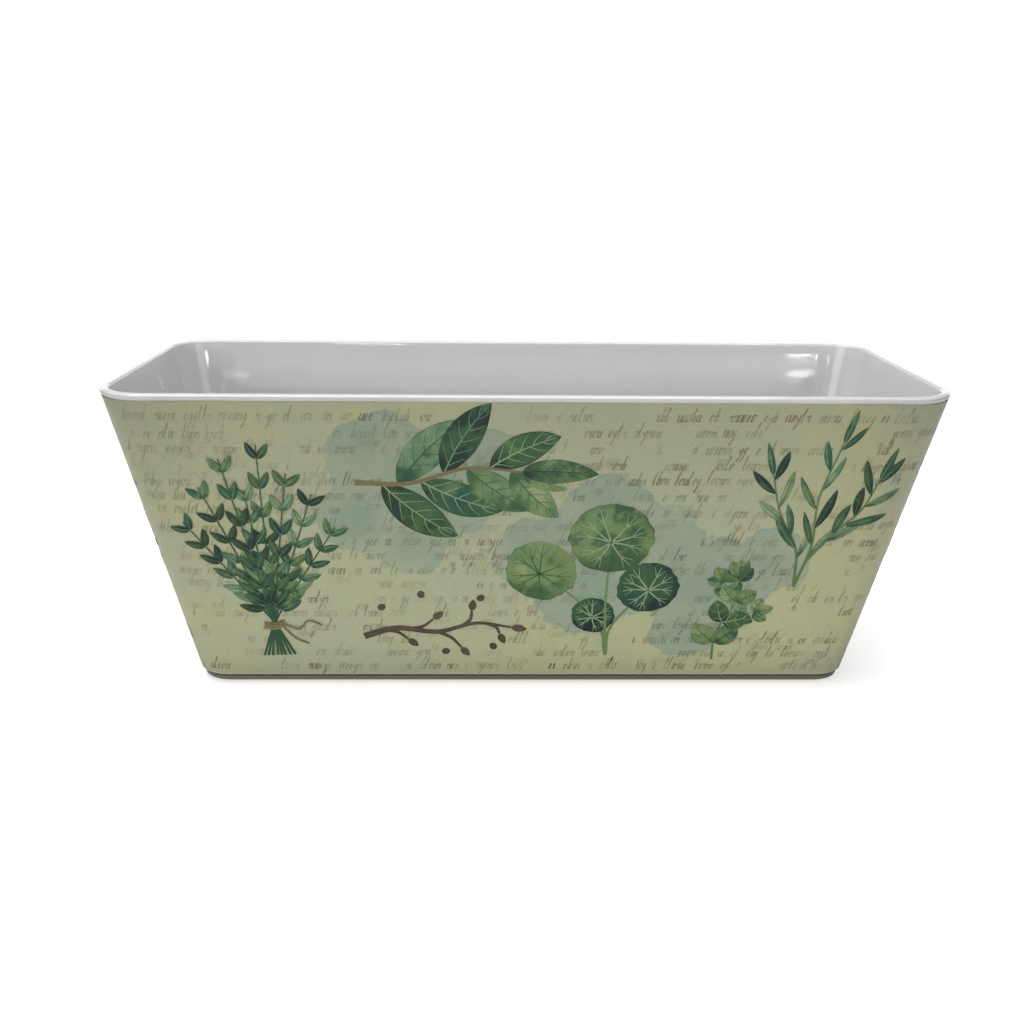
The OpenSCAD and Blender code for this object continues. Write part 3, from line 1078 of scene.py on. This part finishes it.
def plug_mesh(x):
    flange_r = seat_r - 0.5
    stem_r = drain_r - 0.08
    low, high = (corner.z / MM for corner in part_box("drain_plug_middle"))
    stem_part = [
        (stem_r * 0.55, low + 0.5),
        (stem_r * 0.62, low + 0.06),
        (stem_r * 0.7, low),
        (stem_r - 0.5, low),
        (stem_r - 0.12, low + 0.12),
        (stem_r, low + 0.5),
        (stem_r, seat_z - 0.15),
        (stem_r + 0.15, seat_z),
    ]
    flange_part = [
        (flange_r - 0.35, seat_z),
        (flange_r - 0.08, seat_z + 0.1),
        (flange_r, seat_z + 0.35),
        (flange_r, floor_z - 0.4),
        (flange_r - 0.12, floor_z - 0.1),
        (flange_r - 0.4, floor_z),
        (flange_r - 0.9, floor_z - 0.02),
        (flange_r - 1.15, floor_z - 0.2),
        (flange_r - 1.5, floor_z - 0.25),
        (flange_r - 1.85, floor_z - 0.2),
    ]
    loops = [rounded_loop((x, 0), r, r, r, z) for r, z in stem_part + flange_part]
    tab_x, tab_y, tab_top_r = 6, 1.2, 0.75
    tab_part = [
        (0.9, floor_z - 0.14),
        (0.35, floor_z + 0.02),
        (0.06, floor_z + 0.35),
        (0, floor_z + 0.7),
    ]
    for rib_z in (floor_z + 1.05, floor_z + 1.8):
        tab_part += [(0, rib_z), (-0.14, rib_z + 0.14), (-0.14, rib_z + 0.3), (0, rib_z + 0.44)]
    for a in np.radians(np.linspace(0, 80, 6)):
        tab_part.append((tab_top_r * (math.cos(a) - 1), high - tab_top_r * (1 - math.sin(a))))
    for grow, z in tab_part:
        shorten = max(z - floor_z - 1.2, 0) * 0.35
        radius = max(1.15 + grow, 0.25)
        loops.append(rounded_loop((x, 0), tab_x + grow - shorten, tab_y + grow, radius, z))
    bm = bmesh.new()
    stack_loops(bm, loops)
    return bm


plug_silicone, tree, shader = new_material(
    "plug_silicone", IOR=1.41, Subsurface_Weight=0.15, Subsurface_Scale=0.002
)
place = where(tree)
cloud = step(tree, noise(tree, place, 160, 3, 0.6), 0.3, 0.7)
tone = blend(tree, cloud, srgb(196, 200, 198), srgb(208, 211, 208))
marks = place_group(tree, handling, {"Place": place, "Amount": 0.6})["Mask"]
tone = blend(tree, marks, tone, srgb(184, 186, 180))
tree.links.new(tone, shader.inputs["Base Color"])
grain = noise(tree, place, 1800, 3, 0.6)
skin(tree, shader, scaled(tree, grain, 0.12, 0.42), grain, 0.25, 0.0001)
for side, x in zip(("left", "middle", "right"), drain_x):
    plug = finish_mesh(plug_mesh(x), f"silicone_plug_{side}", [plug_silicone], 50)
    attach(plug, f"{side}_plug")
    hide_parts(f"drain_plug_{side}")

# The feet. Four round rubber pads glued into shallow sockets under the corners,
# which hold the ring just off the sill. Their undersides have moulded grooves.


def foot_mesh(place):
    foot_r = 8
    edge_r = 0.8
    groove = 0.25
    rings = [(0.9, 0.05), (1.2, 0)]
    for groove_r in (2.4, 4.2, 6):
        rings += [
            (groove_r - 0.45, 0),
            (groove_r - 0.3, groove),
            (groove_r + 0.3, groove),
            (groove_r + 0.45, 0),
        ]
    rings += arc((foot_r - edge_r, edge_r), edge_r, -90, 0, 7)
    rings += [(foot_r, socket_top - 0.15), (foot_r - 0.15, socket_top - 0.02)]
    bm = bmesh.new()
    stack_loops(bm, [rounded_loop(place, r, r, r, z) for r, z in rings])
    return bm


foot_rubber, tree, shader = new_material("foot_rubber", IOR=1.5)
place = where(tree)
dust = step(tree, noise(tree, place, 240, 4, 0.65), 0.45, 0.75)
tone = blend(tree, times(tree, dust, 0.5), srgb(66, 66, 63), srgb(96, 95, 90))
tree.links.new(tone, shader.inputs["Base Color"])
grit = noise(tree, place, 2600, 3, 0.7)
skin(tree, shader, scaled(tree, dust, 0.15, 0.68), grit, 0.4, 0.0001)
for end_name, y in (("front", -foot_y), ("back", foot_y)):
    for side, x in (("left", -foot_x), ("right", foot_x)):
        foot = finish_mesh(foot_mesh((x, y)), f"rubber_foot_{end_name}_{side}", [foot_rubber], 50)
        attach(foot, "planter")
        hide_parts(f"foot_{end_name}_{side}")

# The stage. A white table top that reaches out of sight and keeps the planter's
# soft shadow, with a white room round it. The camera sees both as pure white,
# but for that shadow.
bpy.ops.mesh.primitive_plane_add(size=6, location=(0, 0, -0.0001))
table_top = bpy.context.object
table_top.name = "table_top"
table_white, tree, shader = new_material("table_white", Roughness=0.9)
shader.inputs["Base Color"].default_value = srgb(236, 236, 236)
path = add_node(tree, "LightPath").outputs
seen = calc(tree, "MAXIMUM", path["Is Camera Ray"], path["Is Transmission Ray"])
glow_inputs = {"Color": (1, 1, 1, 1), "Strength": times(tree, seen, 0.6)}
lift = add_node(tree, "Emission", glow_inputs)
near = add_node(tree, "AddShader", {0: shader.outputs[0], 1: lift.outputs[0]})
away = add_node(tree, "VectorMath", {0: where(tree)}, operation="LENGTH").outputs["Value"]
share = times(tree, seen, step(tree, away, 0.25, 0.7))
glow = add_node(tree, "Emission", {"Color": (1, 1, 1, 1), "Strength": 1})
surface = add_node(tree, "MixShader", {0: share, 1: near.outputs[0], 2: glow.outputs[0]})
tree.links.new(surface.outputs[0], tree.nodes["Material Output"].inputs["Surface"])
table_top.data.materials.append(table_white)

world = bpy.data.worlds.new("studio")
bpy.context.scene.world = world
world.use_nodes = True
tree = world.node_tree
path = add_node(tree, "LightPath").outputs
room = tree.nodes["Background"]
room.inputs["Color"].default_value = srgb(236, 238, 242)
room.inputs["Strength"].default_value = 0.1
backdrop = add_node(tree, "Background", {"Color": (1, 1, 1, 1), "Strength": 1})
seen = calc(tree, "MAXIMUM", path["Is Camera Ray"], path["Is Transmission Ray"])
surface = add_node(tree, "MixShader", {0: seen, 1: room.outputs[0], 2: backdrop.outputs[0]})
tree.links.new(surface.outputs[0], tree.nodes["World Output"].inputs["Surface"])

# The lamps. Five softboxes light the planter evenly; two faint strips and five
# small windows only show as glints in its gloss. Each lamp has its place, its
# width and height in metres and its power in watts, and is aimed at the middle.
middle = Vector((0, 0, trough_high.z / 2 * MM))
for name, spot, width, height, power in (
    ("overhead_softbox", (-0.2, 0, 1.5), 0.9, 1.4, 23),
    ("low_front_softbox", (0, -1.6, 0.2), 1.6, 0.3, 6.4),
    ("left_softbox", (-1.3, -1.1, 0.7), 0.8, 0.8, 6.1),
    ("right_softbox", (1.3, -1.1, 0.7), 0.8, 0.8, 3.4),
    ("back_softbox", (0, 1.8, 0.4), 4, 0.7, 10.5),
    ("high_strip", (0.05, -1.6, 0.435), 1.15, 0.06, 0.26),
    ("high_strip_2", (0.05, -1.6, 0.445), 1.15, 0.08, 0.1),
    ("window_1", (0.400, -0.850, 0.437), 0.17, 0.020, 0.2),
    ("window_2", (-0.184, -0.950, 0.427), 0.10, 0.008, 0.04),
    ("window_3", (0.424, -0.980, 0.340), 0.034, 0.005, 0.016),
    ("window_4", (0.422, -0.985, 0.315), 0.034, 0.005, 0.012),
    ("window_5", (-0.374, -0.998, 0.313), 0.034, 0.004, 0.004),
):
    light = bpy.data.lights.new(name, "AREA")
    light.shape = "RECTANGLE"
    light.size = width
    light.size_y = height
    light.energy = power
    lamp = bpy.data.objects.new(name, light)
    lamp.location = spot
    lamp.rotation_euler = (middle - Vector(spot)).to_track_quat("-Z", "Y").to_euler()
    bpy.context.scene.collection.objects.link(lamp)

# The camera, in front of the planter and a little above it, as in the photo.
lens = bpy.data.cameras.new("photo_camera")
lens.lens = 38.473
lens.sensor_width = 36
camera = bpy.data.objects.new("photo_camera", lens)
pitch, yaw, roll = (math.radians(a) for a in (18.028, 1.163, 0.543))
camera.matrix_world = (
    Matrix.Translation(Vector((-13.09, -429.76, 199.76)) * MM)
    @ Matrix.Rotation(-yaw, 4, "Z")
    @ Matrix.Rotation(math.pi / 2 - pitch, 4, "X")
    @ Matrix.Rotation(roll, 4, "Z")
)
bpy.context.scene.collection.objects.link(camera)
bpy.context.scene.camera = camera
bpy.context.scene.view_settings.view_transform = "Standard"
